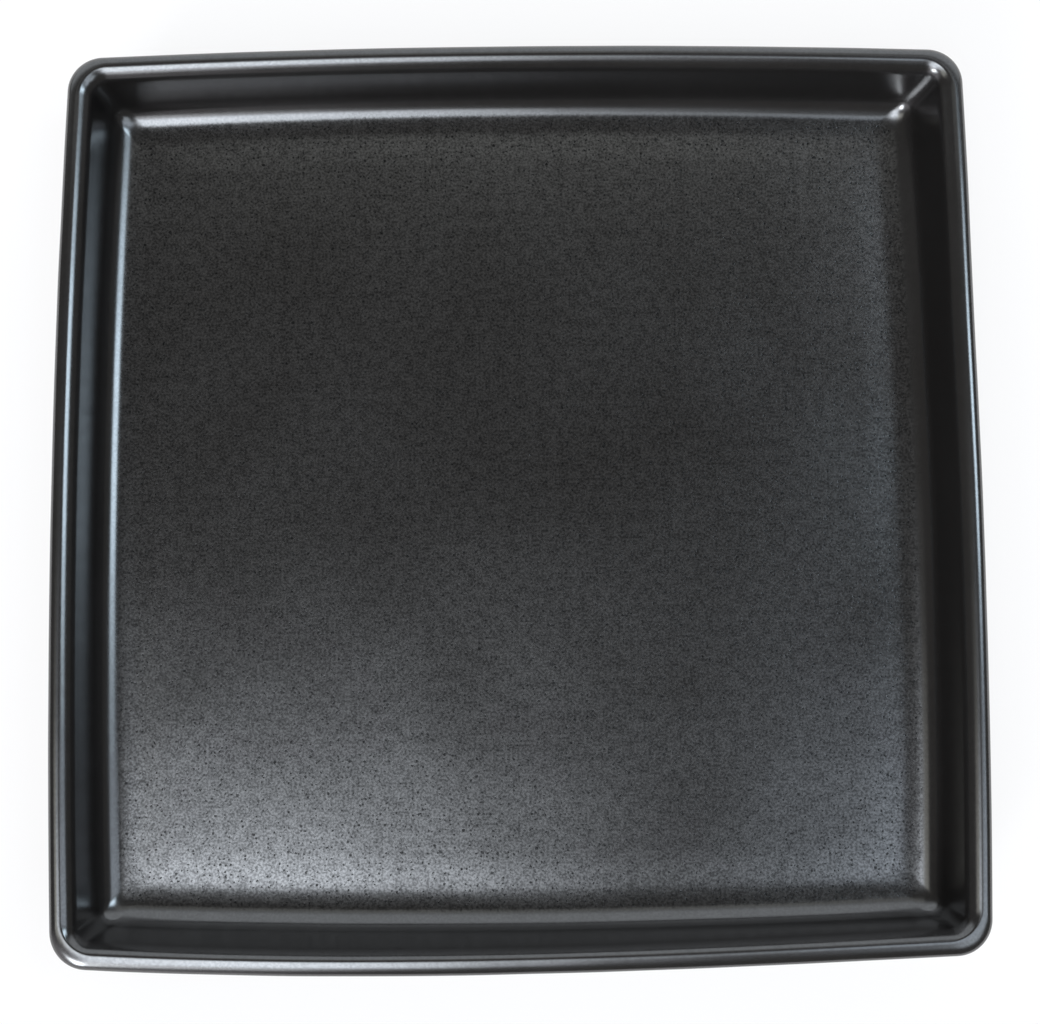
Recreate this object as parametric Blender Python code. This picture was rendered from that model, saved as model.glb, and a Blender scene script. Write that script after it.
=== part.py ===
"""Square stoneware salad plate: a clay body, the glaze coat over it and the glaze patch inside its foot ring.

Units are metres, +Z is up, and the origin is the middle of the plate on the surface that it stands on.
Each solid is lofted through level rings. A ring is a rounded square with slightly bowed sides, and a
section through the wall gives each ring its inset from the rim, its height and its corner radius.
"""
from math import atan2, cos, pi, radians, sin, sqrt, tan

import bmesh
import bpy

# Overall form
RIM_WIDTH = 0.205            # across the outside of the lip, at the middle of two opposite sides
SIDE_BOW = 0.0020            # how far the middle of a side stands out past its corners
OUTER_CORNER_RADIUS = 0.0080  # plan radius of the corners outside and along the top of the lip
INNER_CORNER_RADIUS = 0.0026  # plan radius of the upright corners inside the plate
LIP_RADIUS = 0.0024          # nose of the lip, from the outside of the wall over the top
SHOULDER_RADIUS = 0.0040     # gentler round from the nose down to the inside of the wall
SHOULDER_TURN = radians(26.0)  # where the nose passes into the shoulder, from straight up
WALL_LEAN = radians(10.0)    # lean of the wall from upright, outward at the top
WELL_DEPTH = 0.0160          # from the top of the lip down to the floor
WELL_FILLET_RADIUS = 0.0052  # round at the foot of the inside wall
FLOOR_RISE_RADIUS = 0.0300   # the edge of the floor curves up to that round on this radius
FLOOR_RISE_TURN = radians(8.0)  # tilt at which the floor's edge passes into the round
FLOOR_THICKNESS = 0.0048     # glazed floor
HEEL_RADIUS = 0.0080         # outside round between the wall and the underside

# Foot ring
FOOT_HEIGHT = 0.0022         # from the table up to the glazed underside
FOOT_INSET = 0.0090          # from the end of the heel round to the glazed outside of the foot
FOOT_BAND = 0.0050           # glazed thickness of the foot ring
FOOT_CORNER_RADIUS = 0.0120  # plan radius of the foot's outside corners
FOOT_FILLET_RADIUS = 0.0009  # round where the foot meets the underside
FOOT_EDGE_BREAK = 0.0004     # small chamfer on the foot's bare edges
BARE_FOOT_HEIGHT = 0.0007    # the foot is wiped clean of glaze up to here

# Glaze
GLAZE_THICKNESS = 0.0004
GLAZE_CLEARANCE = 0.0003     # modelling gap between the glaze and the clay under it

# Facets
SIDE_STEPS = 6
CORNER_STEPS = 5
LIP_STEPS = 5
SHOULDER_STEPS = 3
FILLET_STEPS = 4
FLOOR_RISE_STEPS = 2
HEEL_STEPS = 4
FOOT_FILLET_STEPS = 2

# Heights and insets that follow from the sizes above
UNDERSIDE_HEIGHT = FOOT_HEIGHT
FLOOR_HEIGHT = UNDERSIDE_HEIGHT + FLOOR_THICKNESS
LIP_CENTRE_HEIGHT = FLOOR_HEIGHT + WELL_DEPTH - LIP_RADIUS
HEEL_CENTRE_HEIGHT = UNDERSIDE_HEIGHT + HEEL_RADIUS
WALL_NORMAL = pi / 2 - WALL_LEAN  # from straight up to the direction that the inside of the wall faces

# Two rounds that pass into each other smoothly have their centres in line with the point where they meet
SHOULDER_STEP = SHOULDER_RADIUS - LIP_RADIUS
SHOULDER_CENTRE_INSET = LIP_RADIUS - SHOULDER_STEP * sin(SHOULDER_TURN)
SHOULDER_CENTRE_HEIGHT = LIP_CENTRE_HEIGHT - SHOULDER_STEP * cos(SHOULDER_TURN)
WALL_THICKNESS = LIP_RADIUS + SHOULDER_RADIUS - SHOULDER_STEP * cos(WALL_NORMAL - SHOULDER_TURN)
FLOOR_RISE_STEP = FLOOR_RISE_RADIUS - WELL_FILLET_RADIUS
FLOOR_RISE_CENTRE_HEIGHT = FLOOR_HEIGHT + FLOOR_RISE_RADIUS
FILLET_CENTRE_HEIGHT = FLOOR_RISE_CENTRE_HEIGHT - FLOOR_RISE_STEP * cos(FLOOR_RISE_TURN)


def inset_along_wall(height, distance):
    """Inset at a height of a line that leans with the wall, this far inside the lip's centre."""
    return LIP_RADIUS + (LIP_CENTRE_HEIGHT - height) * tan(WALL_LEAN) + distance / cos(WALL_LEAN)


FILLET_CENTRE_INSET = inset_along_wall(FILLET_CENTRE_HEIGHT, WALL_THICKNESS - LIP_RADIUS + WELL_FILLET_RADIUS)
FLOOR_RISE_CENTRE_INSET = FILLET_CENTRE_INSET + FLOOR_RISE_STEP * sin(FLOOR_RISE_TURN)
HEEL_CENTRE_INSET = inset_along_wall(HEEL_CENTRE_HEIGHT, HEEL_RADIUS - LIP_RADIUS)
FOOT_OUTER_INSET = HEEL_CENTRE_INSET + FOOT_INSET
FOOT_INNER_INSET = FOOT_OUTER_INSET + FOOT_BAND
CLAY_DEPTH = GLAZE_THICKNESS + GLAZE_CLEARANCE


def spread(start, end, steps):
    """Evenly spaced values from start to end, both included."""
    return [start + (end - start) * i / steps for i in range(steps + 1)]


def ring(inset, height, corner):
    """Points of one level ring, anticlockwise seen from above, starting on the +X side."""
    half_width = RIM_WIDTH / 2 - inset
    half_chord = half_width - SIDE_BOW
    side_radius = (half_chord ** 2 + SIDE_BOW ** 2) / (2 * SIDE_BOW)
    side_centre = half_width - side_radius
    # The corner circle touches both side arcs from inside, so its centre lies on the diagonal
    reach = side_radius - corner
    corner_centre = (side_centre + sqrt(2 * reach ** 2 - side_centre ** 2)) / 2
    touch = atan2(corner_centre, corner_centre - side_centre)
    quarter = []
    for angle in spread(-touch, touch, SIDE_STEPS)[:-1]:
        quarter.append((side_centre + side_radius * cos(angle), side_radius * sin(angle)))
    for angle in spread(touch, pi / 2 - touch, CORNER_STEPS)[:-1]:
        quarter.append((corner_centre + corner * cos(angle), corner_centre + corner * sin(angle)))
    points = []
    for turn_x, turn_y in ((1, 0), (0, 1), (-1, 0), (0, -1)):
        for x, y in quarter:
            points.append((x * turn_x - y * turn_y, x * turn_y + y * turn_x, height))
    return points


def arc(centre_inset, centre_height, radius, start, end, steps):
    """Section points round a centre; angles run from straight up towards the plate's middle."""
    return [(centre_inset + radius * sin(angle), centre_height + radius * cos(angle))
            for angle in spread(start, end, steps)]


def inside_section(depth):
    """Rings of the floor's edge, the well's fillet and the inside wall, this far under the glaze surface."""
    rise = arc(FLOOR_RISE_CENTRE_INSET, FLOOR_RISE_CENTRE_HEIGHT, FLOOR_RISE_RADIUS + depth,
               pi, pi + FLOOR_RISE_TURN, FLOOR_RISE_STEPS)
    fillet = arc(FILLET_CENTRE_INSET, FILLET_CENTRE_HEIGHT, WELL_FILLET_RADIUS + depth,
                 pi + FLOOR_RISE_TURN, pi + WALL_NORMAL, FILLET_STEPS)
    return [(inset, height, INNER_CORNER_RADIUS + depth) for inset, height in rise[:-1] + fillet]


def lip_corner(angle, depth):
    """Plan corner radius where the lip faces this way: even up to the top, then tighter down to the wall."""
    inward = max(sin(angle), 0.0) / sin(WALL_NORMAL)
    return OUTER_CORNER_RADIUS + (INNER_CORNER_RADIUS - OUTER_CORNER_RADIUS) * inward + depth * sin(angle)


def lip_section(depth):
    """Rings of the lip, from the inside wall over its shoulder and nose to the outside wall."""
    turns = [(WALL_NORMAL, SHOULDER_TURN, SHOULDER_STEPS), (SHOULDER_TURN, WALL_NORMAL - pi, LIP_STEPS)]
    shoulder = arc(SHOULDER_CENTRE_INSET, SHOULDER_CENTRE_HEIGHT, SHOULDER_RADIUS - depth, *turns[0])
    nose = arc(LIP_RADIUS, LIP_CENTRE_HEIGHT, LIP_RADIUS - depth, *turns[1])
    angles = spread(*turns[0])[:-1] + spread(*turns[1])
    corners = [lip_corner(angle, depth) for angle in angles]
    return [(*place, corner) for place, corner in zip(shoulder[:-1] + nose, corners)]


def heel_section(depth):
    """Rings of the heel round, from the outside wall to the underside."""
    section = arc(HEEL_CENTRE_INSET, HEEL_CENTRE_HEIGHT, HEEL_RADIUS - depth,
                  WALL_NORMAL - pi, -pi, HEEL_STEPS)
    return [(inset, height, OUTER_CORNER_RADIUS - depth) for inset, height in section]


def foot_corner(inset):
    """Plan corner radius of the foot ring's surfaces, which are offsets of one another."""
    return FOOT_CORNER_RADIUS + FOOT_OUTER_INSET - inset


def foot_rings(section):
    return [(inset, height, foot_corner(inset)) for inset, height in section]


def outer_foot_section(depth):
    """Rings from the underside round to the foot's outside."""
    return foot_rings(arc(FOOT_OUTER_INSET - FOOT_FILLET_RADIUS, UNDERSIDE_HEIGHT - FOOT_FILLET_RADIUS,
                          FOOT_FILLET_RADIUS + depth, 0, pi / 2, FOOT_FILLET_STEPS))


def inner_foot_section(depth):
    """Rings from the foot's inside round to the ceiling of the foot well."""
    return foot_rings(arc(FOOT_INNER_INSET + FOOT_FILLET_RADIUS, UNDERSIDE_HEIGHT - FOOT_FILLET_RADIUS,
                          FOOT_FILLET_RADIUS + depth, -pi / 2, 0, FOOT_FILLET_STEPS))


def bare_foot_section():
    """Rings of the unglazed bottom of the foot, with its broken edges."""
    outer = FOOT_OUTER_INSET + CLAY_DEPTH
    inner = FOOT_INNER_INSET - CLAY_DEPTH
    return foot_rings([(outer, FOOT_EDGE_BREAK), (outer + FOOT_EDGE_BREAK, 0.0),
                       (inner - FOOT_EDGE_BREAK, 0.0), (inner, FOOT_EDGE_BREAK)])


def coat_section(depth):
    """Rings of the main coat's surface, from the floor over the lip to the glaze line on the foot."""
    glaze_line = (FOOT_OUTER_INSET + depth, BARE_FOOT_HEIGHT)
    return (inside_section(depth) + lip_section(depth) + heel_section(depth)
            + outer_foot_section(depth) + foot_rings([glaze_line]))


def foot_well_section(depth):
    """Rings of the foot well's glaze surface, from its glaze line to the ceiling."""
    glaze_line = (FOOT_INNER_INSET - depth, BARE_FOOT_HEIGHT)
    return foot_rings([glaze_line]) + inner_foot_section(depth)


def loft(name, section, material):
    """One closed solid through a list of rings; the first and the last ring are filled."""
    mesh = bpy.data.meshes.new(name)
    shape = bmesh.new()
    loops = [[shape.verts.new(point) for point in ring(*place)] for place in section]
    for lower, upper in zip(loops, loops[1:]):
        count = len(lower)
        for i in range(count):
            j = (i + 1) % count
            shape.faces.new((lower[i], lower[j], upper[j], upper[i]))
    shape.faces.new(loops[0])
    shape.faces.new(loops[-1])
    bmesh.ops.recalc_face_normals(shape, faces=shape.faces)
    shape.to_mesh(mesh)
    shape.free()
    mesh.shade_smooth()
    mesh.set_sharp_from_angle(angle=radians(35.0))
    mesh.materials.append(material)
    solid = bpy.data.objects.new(name, mesh)
    bpy.context.scene.collection.objects.link(solid)
    return solid


def principled(name, colour, roughness):
    material = bpy.data.materials.new(name)
    material.use_nodes = True
    shader = material.node_tree.nodes["Principled BSDF"]
    shader.inputs["Base Color"].default_value = (*colour, 1.0)
    shader.inputs["Roughness"].default_value = roughness
    shader.inputs["Metallic"].default_value = 0.0
    return material


def clear_scene():
    for item in list(bpy.data.objects):
        bpy.data.objects.remove(item, do_unlink=True)


def build():
    clear_scene()
    clay = principled("bare_stoneware", (0.50, 0.43, 0.35), 0.85)
    black_glaze = principled("satin_black_glaze", (0.014, 0.013, 0.013), 0.32)
    body_section = (inside_section(CLAY_DEPTH) + lip_section(CLAY_DEPTH) + heel_section(CLAY_DEPTH)
                    + outer_foot_section(CLAY_DEPTH) + bare_foot_section() + inner_foot_section(CLAY_DEPTH))
    coat = coat_section(0.0) + coat_section(GLAZE_THICKNESS)[::-1]
    patch = foot_well_section(0.0)[::-1] + foot_well_section(GLAZE_THICKNESS)
    plate = bpy.data.objects.new("square_salad_plate", None)
    bpy.context.scene.collection.objects.link(plate)
    for solid in (loft("stoneware_body", body_section, clay),
                  loft("main_glaze", coat, black_glaze),
                  loft("foot_well_glaze", patch, black_glaze)):
        solid.parent = plate


build()
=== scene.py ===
"""Looks of the square stoneware salad plate: its glaze, its bare foot, the light and the camera.

Units are metres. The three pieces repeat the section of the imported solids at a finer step, so each one
fills the place of its solid: the clay body, the main glaze coat and the glaze patch inside the foot ring.
"""
from math import atan2, cos, pi, radians, sin, sqrt, tan

import bpy
import numpy as np
from mathutils import Matrix, Vector, noise


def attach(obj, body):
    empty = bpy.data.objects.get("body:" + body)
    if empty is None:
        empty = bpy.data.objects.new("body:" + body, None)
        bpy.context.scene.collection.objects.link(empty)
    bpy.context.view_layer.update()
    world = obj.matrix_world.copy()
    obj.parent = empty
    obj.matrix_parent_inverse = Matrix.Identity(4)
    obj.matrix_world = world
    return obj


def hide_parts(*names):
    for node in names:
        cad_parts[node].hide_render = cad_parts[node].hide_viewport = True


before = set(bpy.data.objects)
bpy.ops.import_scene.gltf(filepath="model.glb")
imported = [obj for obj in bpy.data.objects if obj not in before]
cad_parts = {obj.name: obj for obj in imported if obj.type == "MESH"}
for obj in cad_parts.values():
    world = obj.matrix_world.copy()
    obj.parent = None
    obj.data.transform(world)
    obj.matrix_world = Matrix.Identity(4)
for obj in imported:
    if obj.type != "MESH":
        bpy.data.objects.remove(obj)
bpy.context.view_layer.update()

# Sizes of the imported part
RIM_WIDTH = 0.205
SIDE_BOW = 0.0020
OUTER_CORNER_RADIUS = 0.0080
INNER_CORNER_RADIUS = 0.0026
LIP_RADIUS = 0.0024
SHOULDER_RADIUS = 0.0040
SHOULDER_TURN = radians(26.0)
WALL_LEAN = radians(10.0)
WELL_DEPTH = 0.0160
WELL_FILLET_RADIUS = 0.0052
FLOOR_RISE_RADIUS = 0.0300
FLOOR_RISE_TURN = radians(8.0)
FLOOR_THICKNESS = 0.0048
HEEL_RADIUS = 0.0080
FOOT_HEIGHT = 0.0022
FOOT_INSET = 0.0090
FOOT_BAND = 0.0050
FOOT_CORNER_RADIUS = 0.0120
FOOT_FILLET_RADIUS = 0.0009
FOOT_EDGE_BREAK = 0.0004
BARE_FOOT_HEIGHT = 0.0007
CLAY_DEPTH = 0.0007

# Surface detail of the fired piece
GLAZE_SEAT = CLAY_DEPTH - 0.00003   # the visible coat reaches almost down to the clay
GLAZE_RIPPLE = 0.00005              # height of the soft unevenness of the glaze surface
GLAZE_RIPPLE_LENGTH = 0.016
GLAZE_LINE_WANDER = 0.00022         # how far the wiped glaze line strays on the foot
GLAZE_LINE_LENGTH = 0.012
CORNER_POOL = 0.0008                # what pooled glaze adds to the radius of the upright corners inside
FLOOR_DIP = 0.00009                 # how far the floor sinks just before its edge curves up
FLOOR_DIP_START = 0.0225            # inset from the rim where the floor begins to sink
FLOOR_DIP_LOW = 0.0145              # inset from the rim where it is lowest

# Warp from the kiln: the rim of the -Y side waves along X, and the +X +Y corner leans out
RIM_WAVE = (-0.00012, 0.00135, 0.00075, -0.00090)   # powers 0 to 3 of the share of the half width
CORNER_LEAN = 0.00105
NEAR_LIP_SHIFT = 0.0009             # how much further in the top of the -Y lip stands
WARP_START = 0.3                    # share of the half width where the warp begins

# Steps of the finer surface
SIDE_STEPS = 56
CORNER_STEPS = 16
FLOOR_STEPS = 60
FLOOR_RISE_STEPS = 6
FILLET_STEPS = 14
WALL_STEPS = 6
SHOULDER_STEPS = 12
LIP_STEPS = 20
HEEL_STEPS = 14
FOOT_STEPS = 6
FLOOR_CENTRE_SHARE = 0.02           # size of the innermost floor ring against the outermost

# Heights and insets that follow from the sizes
HALF_WIDTH = RIM_WIDTH / 2
UNDERSIDE_HEIGHT = FOOT_HEIGHT
FLOOR_HEIGHT = UNDERSIDE_HEIGHT + FLOOR_THICKNESS
LIP_CENTRE_HEIGHT = FLOOR_HEIGHT + WELL_DEPTH - LIP_RADIUS
HEEL_CENTRE_HEIGHT = UNDERSIDE_HEIGHT + HEEL_RADIUS
WALL_NORMAL = pi / 2 - WALL_LEAN
SHOULDER_STEP = SHOULDER_RADIUS - LIP_RADIUS
SHOULDER_CENTRE_INSET = LIP_RADIUS - SHOULDER_STEP * sin(SHOULDER_TURN)
SHOULDER_CENTRE_HEIGHT = LIP_CENTRE_HEIGHT - SHOULDER_STEP * cos(SHOULDER_TURN)
WALL_THICKNESS = LIP_RADIUS + SHOULDER_RADIUS - SHOULDER_STEP * cos(WALL_NORMAL - SHOULDER_TURN)
FLOOR_RISE_STEP = FLOOR_RISE_RADIUS - WELL_FILLET_RADIUS
FLOOR_RISE_CENTRE_HEIGHT = FLOOR_HEIGHT + FLOOR_RISE_RADIUS
FILLET_CENTRE_HEIGHT = FLOOR_RISE_CENTRE_HEIGHT - FLOOR_RISE_STEP * cos(FLOOR_RISE_TURN)


def inset_along_wall(height, distance):
    """Inset at a height of a line that leans with the wall, this far inside the lip's centre."""
    return LIP_RADIUS + (LIP_CENTRE_HEIGHT - height) * tan(WALL_LEAN) + distance / cos(WALL_LEAN)


FILLET_CENTRE_INSET = inset_along_wall(FILLET_CENTRE_HEIGHT,
                                       WALL_THICKNESS - LIP_RADIUS + WELL_FILLET_RADIUS)
FLOOR_RISE_CENTRE_INSET = FILLET_CENTRE_INSET + FLOOR_RISE_STEP * sin(FLOOR_RISE_TURN)
HEEL_CENTRE_INSET = inset_along_wall(HEEL_CENTRE_HEIGHT, HEEL_RADIUS - LIP_RADIUS)
FOOT_OUTER_INSET = HEEL_CENTRE_INSET + FOOT_INSET
FOOT_INNER_INSET = FOOT_OUTER_INSET + FOOT_BAND

# Noise and specks of both materials: a kind of speck has a spacing, a smallest and a largest radius and
# the share of its cells that hold one
NOISE_LOW = 0.3                     # lower end of a noise's usual values
NOISE_HIGH = 0.7                    # upper end of a noise's usual values
SPECK_EDGE = 0.25                   # softness of a speck's edge, as a share of the smallest radius
FINE_SPECKS = (0.0012, 0.00011, 0.00024, 0.55)
COARSE_SPECKS = (0.0042, 0.00020, 0.00034, 0.4)
CLAY_SPECKS = (0.0012, 0.00014, 0.0003, 0.7)

# Satin black glaze
SPECK_STIR_SCALE = 2000.0           # noise that makes the specks ragged
SPECK_STIR_REACH = 0.0006
SPECK_DULLING = 0.7                 # share of the shine that a speck takes away
SPECK_ROUGHNESS = 0.1               # what a speck adds to the roughness
SPECK_LEVEL_START = 0.6             # specks need a face this level: the squared upward part of its normal
SPECK_LEVEL_FULL = 0.9
SPECK_HEIGHT_FULL = FLOOR_HEIGHT + 0.00015
SPECK_HEIGHT_END = FLOOR_HEIGHT + 0.0006
GLAZE_CLOUD_SCALE = 22.0
GLAZE_CLOUD_DETAIL = 4.0
GLAZE_MOTTLE_SCALE = 420.0
GLAZE_GRAIN_SCALE = 1850.0
GLAZE_GRAIN_DETAIL = 1.0
GLAZE_SHINE = 0.52
GLAZE_SHINE_GRAIN = 0.19            # how far the grain moves the shine, up and down
GLAZE_SHINE_MOTTLE = 0.07           # how far the mottle does
GLAZE_STEEP_GRAIN = 0.2             # share of the grain on the wall and the lip
GLAZE_DARK = (0.0130, 0.0115, 0.0108, 1)
GLAZE_PALE = (0.0150, 0.0135, 0.0128, 1)
GLAZE_ROUGHNESS = (0.18, 0.22)
GLAZE_STEEP_ROUGHNESS = 0.03        # what a steep face adds to the roughness
GLAZE_STEEP_FULL = 0.35             # upward part of the normal of a face that counts as steep
GLAZE_STEEP_END = 0.65
GLAZE_GRAIN_RELIEF = 0.25           # depth of the grain as a share of a speck's
GLAZE_BUMP_DISTANCE = 0.00001
GLAZE_BUMP_STRENGTH = 0.4
GLAZE_IOR = 2.0
BLACK = (0.0, 0.0, 0.0, 1)

# Bare stoneware
CLAY_CLOUD_SCALE = 60.0
CLAY_CLOUD_DETAIL = 5.0
CLAY_GRAIN_SCALE = 2600.0
CLAY_GRAIN_DETAIL = 3.0
CLAY_GRAIN_SHARE = 0.35
CLAY_DARK = (0.43, 0.36, 0.285, 1)
CLAY_PALE = (0.56, 0.49, 0.405, 1)
CLAY_GRAIN_COLOUR = (0.36, 0.30, 0.24, 1)
CLAY_SPECK_COLOUR = (0.14, 0.09, 0.06, 1)
CLAY_ROUGHNESS = (0.78, 0.92)
CLAY_BUMP_DISTANCE = 0.00006
CLAY_BUMP_STRENGTH = 0.8

# Floor under the plate
STAGE_HALF_WIDTH = 4.0
STAGE_HEIGHT = -0.00005             # just below the foot
STAGE_COLOUR = (0.90, 0.86, 0.85, 1)
STAGE_ROUGHNESS = 0.9
STAGE_WHITE_SHARE = 0.8             # the rest is lit by the room and holds the shadow
BACKDROP_COLOUR = (1, 1, 1, 1)      # what the camera sees past the floor

# Camera: a little below the middle of the plate in the picture, tilted back up to it
FRAME_WIDTH_PX = 1040
FOCAL_LENGTH_PX = 1400
SENSOR_WIDTH_MM = 36.0
CAMERA_PLACE = (0.00066, -0.03327, 0.32713)
CAMERA_TILT = radians(5.52)
CAMERA_ROLL = radians(-0.568)
CAMERA_CLIP_START = 0.01

# Bright areas of the room: edges towards +X, edges towards +Y, softness (leans from overhead, in degrees),
# strength and colour
ROOM_LIGHT = {
    "near_window": ((-23, -2.5), (-42.5, -10), 8, 7.3, (0.86, 0.92, 1.0)),
    "near_left_glow": ((-110, -19), (-110, -31), 15, 0.7, (0.95, 0.93, 1.0)),
    "near_left_lamp": ((-43, -28), (-62, -42), 5, 17, (0.90, 0.95, 1.0)),
    "near_left_wall": ((-34, -11), (-57, -42), 6, 2.8, (0.92, 0.95, 1.0)),
    "overhead_glow": ((-16, 2), (-11, 3), 5, 0.2, (0.88, 0.94, 1.0)),
    "right_window": ((25, 49), (3.5, 16.5), 5, 9.3, (0.70, 0.86, 1.0)),
    "right_near_wall": ((12.5, 51.5), (-22, -5.5), 4, 2.25, (0.77, 0.87, 1.0)),
    "right_far_glow": ((14, 27), (10, 30), 5, 0.35, (0.90, 0.95, 1.0)),
    "far_wall": ((-70, 75), (36, 120), 10, 1.0, (0.88, 0.94, 1.0)),
    "far_glow": ((-16, 15), (20, 35), 3, 0.4, (0.97, 1.0, 0.97)),
    "left_wall": ((-44, -21), (-21, -5.5), 6, 1.65, (1.0, 1.0, 0.93)),
    "near_right_lamp": ((20, 44), (-40, -22), 6, 2.2, (0.80, 0.90, 1.0)),
    "near_right_glow": ((0, 13), (-26, -12), 5, 0.95, (0.86, 0.93, 1.0)),
}
ROOM_COLOUR = (1.0, 0.97, 0.93)
ROOM_STRENGTH = 0.115
SKY_SPREAD_LEAST = 0.2              # keeps the flattened sky finite far below the horizon


# Section of the plate: each entry is an inset from the rim, a height and a plan corner radius

def arc(centre_inset, centre_height, radius, start, end, steps):
    """Section points round a centre; angles run from straight up towards the plate's middle."""
    return [(centre_inset + radius * sin(angle), centre_height + radius * cos(angle))
            for angle in np.linspace(start, end, steps + 1)]


def eased(value):
    """Smooth step from 0 to 1 over the range 0 to 1."""
    held = np.clip(value, 0.0, 1.0)
    return held * held * (3 - 2 * held)


def floor_dip(inset):
    """How far the inside is sunk at this inset: down to the edge of the floor, then back up to the wall."""
    down = eased((FLOOR_DIP_START - inset) / (FLOOR_DIP_START - FLOOR_DIP_LOW))
    back = eased((inset - WALL_THICKNESS) / (FLOOR_DIP_LOW - WALL_THICKNESS))
    return FLOOR_DIP * down * back


def inner_corner(depth):
    """Plan radius of the upright corners inside, this far under the surface that shows."""
    return INNER_CORNER_RADIUS + (depth or CORNER_POOL)


def inside_section(depth):
    rise = arc(FLOOR_RISE_CENTRE_INSET, FLOOR_RISE_CENTRE_HEIGHT, FLOOR_RISE_RADIUS + depth,
               pi, pi + FLOOR_RISE_TURN, FLOOR_RISE_STEPS)
    fillet = arc(FILLET_CENTRE_INSET, FILLET_CENTRE_HEIGHT, WELL_FILLET_RADIUS + depth,
                 pi + FLOOR_RISE_TURN, pi + WALL_NORMAL, FILLET_STEPS)
    return [(inset, height - floor_dip(inset), inner_corner(depth)) for inset, height in rise[:-1] + fillet]


def lip_corner(angle, depth):
    """Plan corner radius where the lip faces this way: even up to the top, tighter down to the wall."""
    inward = max(sin(angle), 0.0) / sin(WALL_NORMAL)
    return (OUTER_CORNER_RADIUS + depth * sin(angle)) * (1 - inward) + inner_corner(depth) * inward


def lip_section(depth):
    turns = [(WALL_NORMAL, SHOULDER_TURN, SHOULDER_STEPS), (SHOULDER_TURN, WALL_NORMAL - pi, LIP_STEPS)]
    shoulder = arc(SHOULDER_CENTRE_INSET, SHOULDER_CENTRE_HEIGHT, SHOULDER_RADIUS - depth, *turns[0])
    nose = arc(LIP_RADIUS, LIP_CENTRE_HEIGHT, LIP_RADIUS - depth, *turns[1])
    angles = [np.linspace(start, end, steps + 1) for start, end, steps in turns]
    corners = [lip_corner(angle, depth) for angle in (*angles[0][:-1], *angles[1])]
    return [(*place, corner) for place, corner in zip(shoulder[:-1] + nose, corners)]


def heel_section(depth):
    section = arc(HEEL_CENTRE_INSET, HEEL_CENTRE_HEIGHT, HEEL_RADIUS - depth,
                  WALL_NORMAL - pi, -pi, HEEL_STEPS)
    return [(inset, height, OUTER_CORNER_RADIUS - depth) for inset, height in section]


def foot_rings(section):
    """The foot's surfaces are offsets of one another in plan."""
    return [(inset, height, FOOT_CORNER_RADIUS + FOOT_OUTER_INSET - inset) for inset, height in section]


def outer_foot_section(depth):
    return foot_rings(arc(FOOT_OUTER_INSET - FOOT_FILLET_RADIUS, UNDERSIDE_HEIGHT - FOOT_FILLET_RADIUS,
                          FOOT_FILLET_RADIUS + depth, 0, pi / 2, FOOT_STEPS))


def inner_foot_section(depth):
    return foot_rings(arc(FOOT_INNER_INSET + FOOT_FILLET_RADIUS, UNDERSIDE_HEIGHT - FOOT_FILLET_RADIUS,
                          FOOT_FILLET_RADIUS + depth, -pi / 2, 0, FOOT_STEPS))


def bare_foot_section():
    """The unglazed bottom of the foot, with its edges rounded off."""
    outer = FOOT_OUTER_INSET + CLAY_DEPTH + FOOT_EDGE_BREAK
    inner = FOOT_INNER_INSET - CLAY_DEPTH - FOOT_EDGE_BREAK
    return foot_rings(arc(outer, FOOT_EDGE_BREAK, FOOT_EDGE_BREAK, -pi / 2, -pi, FOOT_STEPS)
                      + arc(inner, FOOT_EDGE_BREAK, FOOT_EDGE_BREAK, pi, pi / 2, FOOT_STEPS))


def glaze_bead(centre_inset, start, end):
    """The rounded end of a coat where the foot was wiped clean."""
    radius = GLAZE_SEAT / 2
    return foot_rings(arc(centre_inset, BARE_FOOT_HEIGHT + radius, radius, start, end, FOOT_STEPS))


def joined(parts, steps):
    """Sections one after another, with straight runs between them cut into steps."""
    section = list(parts[0])
    for part in parts[1:]:
        first, last = np.array(section[-1]), np.array(part[0])
        section += [tuple(first + (last - first) * i / steps) for i in range(1, steps)]
        section += part
    return section


def main_section(depth, steps):
    """The section from the floor's edge over the lip down to the foot, this far under the surface."""
    return joined([inside_section(depth), lip_section(depth), heel_section(depth),
                   outer_foot_section(depth)], steps)


# Meshes

def ring(inset, height, corner):
    """Points of one level ring, anticlockwise seen from above: four bowed sides and four round corners."""
    half_width = HALF_WIDTH - inset
    half_chord = half_width - SIDE_BOW
    side_radius = (half_chord ** 2 + SIDE_BOW ** 2) / (2 * SIDE_BOW)
    side_centre = half_width - side_radius
    reach = side_radius - corner
    corner_centre = (side_centre + sqrt(2 * reach ** 2 - side_centre ** 2)) / 2
    touch = atan2(corner_centre, corner_centre - side_centre)
    side = np.linspace(-touch, touch, SIDE_STEPS, endpoint=False)
    turn = np.linspace(touch, pi / 2 - touch, CORNER_STEPS, endpoint=False)
    x = np.concatenate([side_centre + side_radius * np.cos(side), corner_centre + corner * np.cos(turn)])
    y = np.concatenate([side_radius * np.sin(side), corner_centre + corner * np.sin(turn)])
    quarters = [(x, y), (-y, x), (-x, -y), (y, -x)]
    return np.concatenate([np.stack([qx, qy, np.full_like(qx, height)], axis=1) for qx, qy in quarters])


def warp_share(reach):
    """How far a place shares in the warp of a side, from its reach towards that side in half widths."""
    return eased((reach - WARP_START) / (1 - WARP_START))


def wall_share(height):
    """How far up the wall a height is, from 0 on the floor to 1 at the lip."""
    return eased((height - FLOOR_HEIGHT) / (LIP_CENTRE_HEIGHT - FLOOR_HEIGHT))


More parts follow.
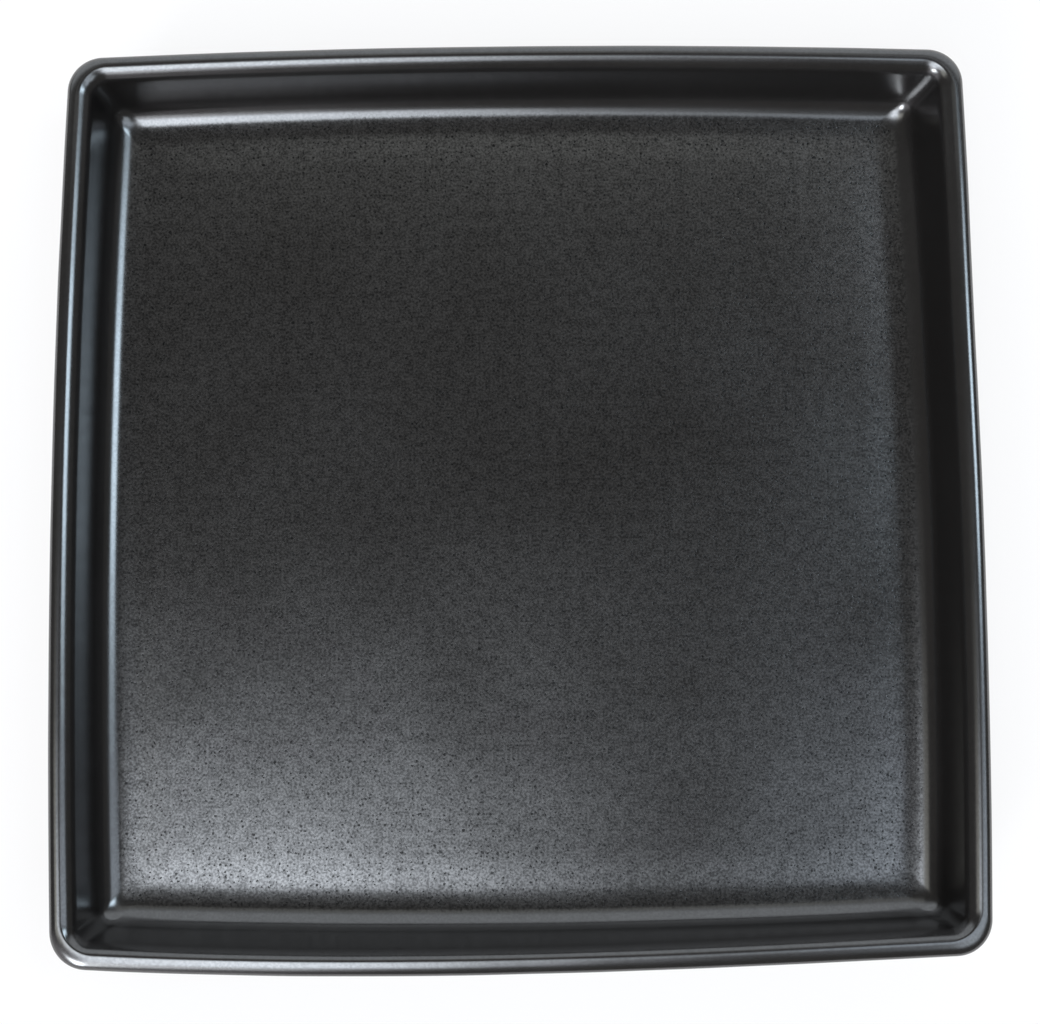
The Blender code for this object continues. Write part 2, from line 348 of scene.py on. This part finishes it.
def warped(points):
    """Points shifted as the kiln shifted the rim; the floor stays where it is."""
    x, y, z = points.T
    share = x / HALF_WIDTH
    wave = sum(size * share ** power for power, size in enumerate(RIM_WAVE))
    lean = wall_share(z) * warp_share(y / HALF_WIDTH) * warp_share(share) * CORNER_LEAN
    return points + np.stack([lean, wall_share(z) * warp_share(-y / HALF_WIDTH) * wave,
                              np.zeros_like(z)], axis=1)


def level_floor(edge):
    """Rings that fill a level floor, from near its middle out to an edge ring."""
    shares = np.linspace(FLOOR_CENTRE_SHARE, 1.0, FLOOR_STEPS, endpoint=False)
    return [edge * (share, share, 1.0) for share in shares]


def sunk_floor(edge):
    """Rings that fill the plate's floor, with its dip before the edge."""
    rings = level_floor(edge)
    for points in rings:
        share = points[0, 0] / edge[0, 0]
        inset = HALF_WIDTH - share * (HALF_WIDTH - FLOOR_RISE_CENTRE_INSET)
        points[:, 2] = FLOOR_HEIGHT - floor_dip(inset)
    return rings


def loft(name, rings, material):
    """One closed solid through rings; a fan of triangles closes each end."""
    count = len(rings[0])
    middles = [rings[0].mean(axis=0)[None], rings[-1].mean(axis=0)[None]]
    points = warped(np.concatenate(rings + middles))
    first_middle = len(rings) * count
    faces = []
    for row in range(len(rings) - 1):
        for i in range(count):
            j = (i + 1) % count
            below, above = row * count, (row + 1) * count
            faces.append((below + i, below + j, above + j, above + i))
    last_row = (len(rings) - 1) * count
    for i in range(count):
        j = (i + 1) % count
        faces.append((j, i, first_middle))
        faces.append((last_row + i, last_row + j, first_middle + 1))
    mesh = bpy.data.meshes.new(name)
    mesh.from_pydata([tuple(p) for p in points], [], faces)
    mesh.shade_smooth()
    mesh.materials.append(material)
    solid = bpy.data.objects.new(name, mesh)
    bpy.context.scene.collection.objects.link(solid)
    return solid


def ripple(solid, shown_points):
    """Gives the shown points the soft unevenness of fired glaze."""
    mesh = solid.data
    normals = [v.normal.copy() for v in mesh.vertices]
    for vertex in mesh.vertices[:shown_points]:
        place = vertex.co.copy()
        height = GLAZE_RIPPLE * noise.noise(place / GLAZE_RIPPLE_LENGTH)
        vertex.co = place + normals[vertex.index] * height
    mesh.update()


# Materials

def add(tree, kind, inputs, **settings):
    """A shader node; each input is a value or another node's output."""
    made = tree.nodes.new(kind)
    for key, value in settings.items():
        setattr(made, key, value)
    for key, value in inputs.items():
        if isinstance(value, bpy.types.NodeSocket):
            tree.links.new(value, made.inputs[key])
        else:
            made.inputs[key].default_value = value
    return made


def new_material(name):
    material = bpy.data.materials.new(name)
    material.use_nodes = True
    return material, material.node_tree, material.node_tree.nodes["Principled BSDF"]


def calc(tree, operation, first, second):
    return add(tree, "ShaderNodeMath", {0: first, 1: second}, operation=operation).outputs[0]


def remap(tree, value, low, high, to_low, to_high):
    """A value taken smoothly from one range to another, and held at the ends."""
    ends = {"From Min": low, "From Max": high, "To Min": to_low, "To Max": to_high}
    made = add(tree, "ShaderNodeMapRange", {"Value": value, **ends}, interpolation_type="SMOOTHSTEP")
    return made.outputs[0]


def clouds(tree, place, scale, detail):
    return add(tree, "ShaderNodeTexNoise", {"Vector": place, "Scale": scale, "Detail": detail}).outputs[0]


def swung(tree, cloud, low, high):
    """A noise spread over a range."""
    return remap(tree, cloud, NOISE_LOW, NOISE_HIGH, low, high)


def mix_colour(tree, share, first, second):
    made = tree.nodes.new("ShaderNodeMix")
    made.data_type = "RGBA"
    colours = [socket for socket in made.inputs if socket.type == "RGBA"]
    for socket, value in zip([made.inputs[0]] + colours, (share, first, second)):
        if isinstance(value, bpy.types.NodeSocket):
            tree.links.new(value, socket)
        else:
            socket.default_value = value
    return next(socket for socket in made.outputs if socket.type == "RGBA")


def specks(tree, place, dimensions, spacing, smallest, largest, share):
    """A mask of round specks: one to a cell, of varied size, in this share of the cells."""
    cells = add(tree, "ShaderNodeTexVoronoi", {"Vector": place, "Scale": 1 / spacing},
                voronoi_dimensions=dimensions)
    chance = add(tree, "ShaderNodeSeparateColor", {"Color": cells.outputs["Color"]})
    radius = remap(tree, chance.outputs[0], 0.0, 1.0, smallest / spacing, largest / spacing)
    inside = calc(tree, "SUBTRACT", radius, cells.outputs["Distance"])
    soft = SPECK_EDGE * smallest / spacing
    mask = remap(tree, inside, -soft, soft, 0.0, 1.0)
    kept = calc(tree, "LESS_THAN", chance.outputs[1], share)
    return calc(tree, "MULTIPLY", mask, kept)


def stirred(tree, place, scale, reach):
    """A place shifted a little by noise, so that what is drawn there gets ragged edges."""
    stir = add(tree, "ShaderNodeTexNoise", {"Vector": place, "Scale": scale}).outputs["Color"]
    centred = add(tree, "ShaderNodeVectorMath", {0: stir, 1: (0.5, 0.5, 0.5)}, operation="SUBTRACT")
    shift = add(tree, "ShaderNodeVectorMath", {0: centred.outputs[0], "Scale": reach}, operation="SCALE")
    return add(tree, "ShaderNodeVectorMath", {0: place, 1: shift.outputs[0]}, operation="ADD").outputs[0]


def satin_black_glaze():
    """Near-black satin glaze: specks and grain on the floor, plainer and slightly rougher where steep."""
    material, tree, shader = new_material("satin_black_glaze")
    place = add(tree, "ShaderNodeTexCoord", {}).outputs["Object"]
    height = add(tree, "ShaderNodeSeparateXYZ", {"Vector": place}).outputs["Z"]
    facing = add(tree, "ShaderNodeNewGeometry", {}).outputs["Normal"]
    upward = add(tree, "ShaderNodeSeparateXYZ", {"Vector": facing}).outputs["Z"]
    squared = calc(tree, "MULTIPLY", upward, upward)
    flat = remap(tree, squared, SPECK_LEVEL_START, SPECK_LEVEL_FULL, 0.0, 1.0)
    low = remap(tree, height, SPECK_HEIGHT_FULL, SPECK_HEIGHT_END, 1.0, 0.0)
    level = calc(tree, "MULTIPLY", low, flat)
    ragged = stirred(tree, place, SPECK_STIR_SCALE, SPECK_STIR_REACH)
    fine = specks(tree, ragged, "2D", *FINE_SPECKS)
    coarse = specks(tree, ragged, "2D", *COARSE_SPECKS)
    speck = calc(tree, "MULTIPLY", calc(tree, "MAXIMUM", fine, coarse), level)
    cloud = clouds(tree, place, GLAZE_CLOUD_SCALE, GLAZE_CLOUD_DETAIL)
    mottle = clouds(tree, place, GLAZE_MOTTLE_SCALE, GLAZE_GRAIN_DETAIL)
    grain = clouds(tree, place, GLAZE_GRAIN_SCALE, GLAZE_GRAIN_DETAIL)
    # How well each spot shines also scales its colour
    uneven = calc(tree, "ADD", swung(tree, grain, -GLAZE_SHINE_GRAIN, GLAZE_SHINE_GRAIN),
                  swung(tree, mottle, -GLAZE_SHINE_MOTTLE, GLAZE_SHINE_MOTTLE))
    dull = calc(tree, "SUBTRACT", 1.0, calc(tree, "MULTIPLY", speck, SPECK_DULLING))
    uneven = calc(tree, "MULTIPLY", uneven, calc(tree, "MAXIMUM", level, GLAZE_STEEP_GRAIN))
    shine = calc(tree, "MULTIPLY", calc(tree, "ADD", uneven, GLAZE_SHINE), dull)
    tree.links.new(shine, shader.inputs["Specular IOR Level"])
    glaze = mix_colour(tree, cloud, GLAZE_DARK, GLAZE_PALE)
    tree.links.new(mix_colour(tree, shine, BLACK, glaze), shader.inputs["Base Color"])
    steep = remap(tree, upward, GLAZE_STEEP_FULL, GLAZE_STEEP_END, GLAZE_STEEP_ROUGHNESS, 0.0)
    smooth = calc(tree, "ADD", swung(tree, cloud, *GLAZE_ROUGHNESS), steep)
    rough = calc(tree, "ADD", smooth, calc(tree, "MULTIPLY", speck, SPECK_ROUGHNESS))
    tree.links.new(rough, shader.inputs["Roughness"])
    relief = calc(tree, "SUBTRACT", calc(tree, "MULTIPLY", grain, GLAZE_GRAIN_RELIEF), speck)
    bump = add(tree, "ShaderNodeBump", {"Height": relief, "Distance": GLAZE_BUMP_DISTANCE,
                                        "Strength": GLAZE_BUMP_STRENGTH})
    tree.links.new(bump.outputs[0], shader.inputs["Normal"])
    shader.inputs["IOR"].default_value = GLAZE_IOR
    return material


def bare_stoneware():
    """Dry fired clay: buff, with fine grain and dark specks."""
    material, tree, shader = new_material("bare_stoneware")
    place = add(tree, "ShaderNodeTexCoord", {}).outputs["Object"]
    cloud = clouds(tree, place, CLAY_CLOUD_SCALE, CLAY_CLOUD_DETAIL)
    grain = clouds(tree, place, CLAY_GRAIN_SCALE, CLAY_GRAIN_DETAIL)
    dark = specks(tree, place, "3D", *CLAY_SPECKS)
    clay = mix_colour(tree, cloud, CLAY_DARK, CLAY_PALE)
    grainy = mix_colour(tree, calc(tree, "MULTIPLY", grain, CLAY_GRAIN_SHARE), clay, CLAY_GRAIN_COLOUR)
    colour = mix_colour(tree, dark, grainy, CLAY_SPECK_COLOUR)
    tree.links.new(colour, shader.inputs["Base Color"])
    tree.links.new(swung(tree, grain, *CLAY_ROUGHNESS), shader.inputs["Roughness"])
    bump = add(tree, "ShaderNodeBump", {"Height": grain, "Distance": CLAY_BUMP_DISTANCE,
                                        "Strength": CLAY_BUMP_STRENGTH})
    tree.links.new(bump.outputs[0], shader.inputs["Normal"])
    return material


# The three pieces

def wander(rings):
    """Lets the wiped end of a coat stray up and down along the foot."""
    for points in rings:
        for point in points:
            place = Vector((point[0], point[1], 0.0)) / GLAZE_LINE_LENGTH
            point[2] += GLAZE_LINE_WANDER * noise.noise(place)
    return rings


def rings_of(section):
    """Rings of a section, with the top of the -Y lip moved in."""
    rings = []
    for inset, height, corner in section:
        points = ring(inset, height, corner)
        on_lip = eased(inset / LIP_RADIUS) * eased((WALL_THICKNESS - inset) / (WALL_THICKNESS - LIP_RADIUS))
        near_side = warp_share(-points[:, 1] / HALF_WIDTH)
        points[:, 1] += NEAR_LIP_SHIFT * wall_share(height) * on_lip * near_side
        rings.append(points)
    return rings


def make_glaze(material):
    bead = glaze_bead(FOOT_OUTER_INSET + GLAZE_SEAT / 2, -pi / 2, -3 * pi / 2)
    hidden = rings_of(main_section(GLAZE_SEAT, 1))
    shown = rings_of(main_section(0.0, WALL_STEPS))
    shown = sunk_floor(shown[0]) + shown
    coat = loft("glaze_coat", shown + wander(rings_of(bead)) + hidden[::-1], material)
    ripple(coat, len(shown) * len(shown[0]))
    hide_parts("main_glaze")
    return coat


def make_foot_well(material):
    bead = glaze_bead(FOOT_INNER_INSET - GLAZE_SEAT / 2, -pi / 2, pi / 2)
    hidden = rings_of(inner_foot_section(GLAZE_SEAT))
    shown = rings_of(inner_foot_section(0.0))
    shown = shown + level_floor(shown[-1])[::-1]
    patch = loft("foot_well_coat", hidden[::-1] + wander(rings_of(bead)) + shown, material)
    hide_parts("foot_well_glaze")
    return patch


def make_body(material):
    section = main_section(CLAY_DEPTH, 1) + bare_foot_section() + inner_foot_section(CLAY_DEPTH)
    body = loft("clay_body", rings_of(section), material)
    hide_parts("stoneware_body")
    return body


# Floor, light and camera

def make_floor():
    """A floor that the camera and mirrored rays see as almost white, with the plate's shadow on it."""
    half = STAGE_HALF_WIDTH
    plan = [(-half, -half), (half, -half), (half, half), (-half, half)]
    mesh = bpy.data.meshes.new("stage_floor")
    mesh.from_pydata([(x, y, STAGE_HEIGHT) for x, y in plan], [], [(0, 1, 2, 3)])
    floor = bpy.data.objects.new("stage_floor", mesh)
    bpy.context.scene.collection.objects.link(floor)
    material, tree, shader = new_material("pale_floor")
    shader.inputs["Base Color"].default_value = STAGE_COLOUR
    shader.inputs["Roughness"].default_value = STAGE_ROUGHNESS
    rays = add(tree, "ShaderNodeLightPath", {})
    seen = calc(tree, "MAXIMUM", rays.outputs["Is Camera Ray"], rays.outputs["Is Glossy Ray"])
    seen = calc(tree, "MAXIMUM", seen, rays.outputs["Is Transmission Ray"])
    share = calc(tree, "MULTIPLY", seen, STAGE_WHITE_SHARE)
    glow = add(tree, "ShaderNodeEmission", {"Strength": 1.0})
    both = add(tree, "ShaderNodeMixShader", {0: share, 1: shader.outputs[0], 2: glow.outputs[0]})
    tree.links.new(both.outputs[0], tree.nodes["Material Output"].inputs["Surface"])
    mesh.materials.append(material)


def lean_place(lean):
    """Where a lean from overhead, in degrees, falls on the flattened sky."""
    return tan(radians(lean) / 2)


def sky_patch(tree, sides, side_leans, front_leans, softness, strength, colour):
    """A soft-edged bright area of the room; its edges are leans towards +X and +Y, in degrees."""
    level = strength
    for side, (low, high) in zip(sides, (side_leans, front_leans)):
        rise = remap(tree, side, lean_place(low - softness), lean_place(low + softness), 0.0, 1.0)
        fall = remap(tree, side, lean_place(high - softness), lean_place(high + softness), 1.0, 0.0)
        level = calc(tree, "MULTIPLY", level, calc(tree, "MULTIPLY", rise, fall))
    return add(tree, "ShaderNodeBackground", {"Color": (*colour, 1), "Strength": level})


def make_world():
    """A dark room with soft bright areas, as the glaze mirrors it; the camera itself sees white."""
    world = bpy.data.worlds.new("studio")
    bpy.context.scene.world = world
    world.use_nodes = True
    tree = world.node_tree
    way = add(tree, "ShaderNodeTexCoord", {}).outputs["Generated"]
    part = add(tree, "ShaderNodeSeparateXYZ", {"Vector": way})
    spread = calc(tree, "MAXIMUM", calc(tree, "ADD", part.outputs["Z"], 1.0), SKY_SPREAD_LEAST)
    sides = [calc(tree, "DIVIDE", part.outputs[axis], spread) for axis in ("X", "Y")]
    room = tree.nodes["Background"]
    room.inputs["Color"].default_value = (*ROOM_COLOUR, 1)
    room.inputs["Strength"].default_value = ROOM_STRENGTH
    for patch in ROOM_LIGHT.values():
        made = sky_patch(tree, sides, *patch)
        room = add(tree, "ShaderNodeAddShader", {0: room.outputs[0], 1: made.outputs[0]})
    white = add(tree, "ShaderNodeBackground", {"Color": BACKDROP_COLOUR, "Strength": 1.0})
    rays = add(tree, "ShaderNodeLightPath", {})
    both = add(tree, "ShaderNodeMixShader", {0: rays.outputs["Is Camera Ray"], 1: room.outputs[0],
                                             2: white.outputs[0]})
    tree.links.new(both.outputs[0], tree.nodes["World Output"].inputs["Surface"])


def make_camera():
    data = bpy.data.cameras.new("camera")
    data.sensor_width = SENSOR_WIDTH_MM
    data.lens = FOCAL_LENGTH_PX / FRAME_WIDTH_PX * SENSOR_WIDTH_MM
    data.clip_start = CAMERA_CLIP_START
    camera = bpy.data.objects.new("camera", data)
    turn = Matrix.Rotation(CAMERA_TILT, 4, "X") @ Matrix.Rotation(CAMERA_ROLL, 4, "Z")
    camera.matrix_world = Matrix.Translation(CAMERA_PLACE) @ turn
    bpy.context.scene.collection.objects.link(camera)
    bpy.context.scene.camera = camera


black_glaze = satin_black_glaze()
for piece in (make_glaze(black_glaze), make_foot_well(black_glaze), make_body(bare_stoneware())):
    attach(piece, "root")
make_floor()
make_world()
make_camera()
bpy.context.scene.view_settings.view_transform = "Standard"
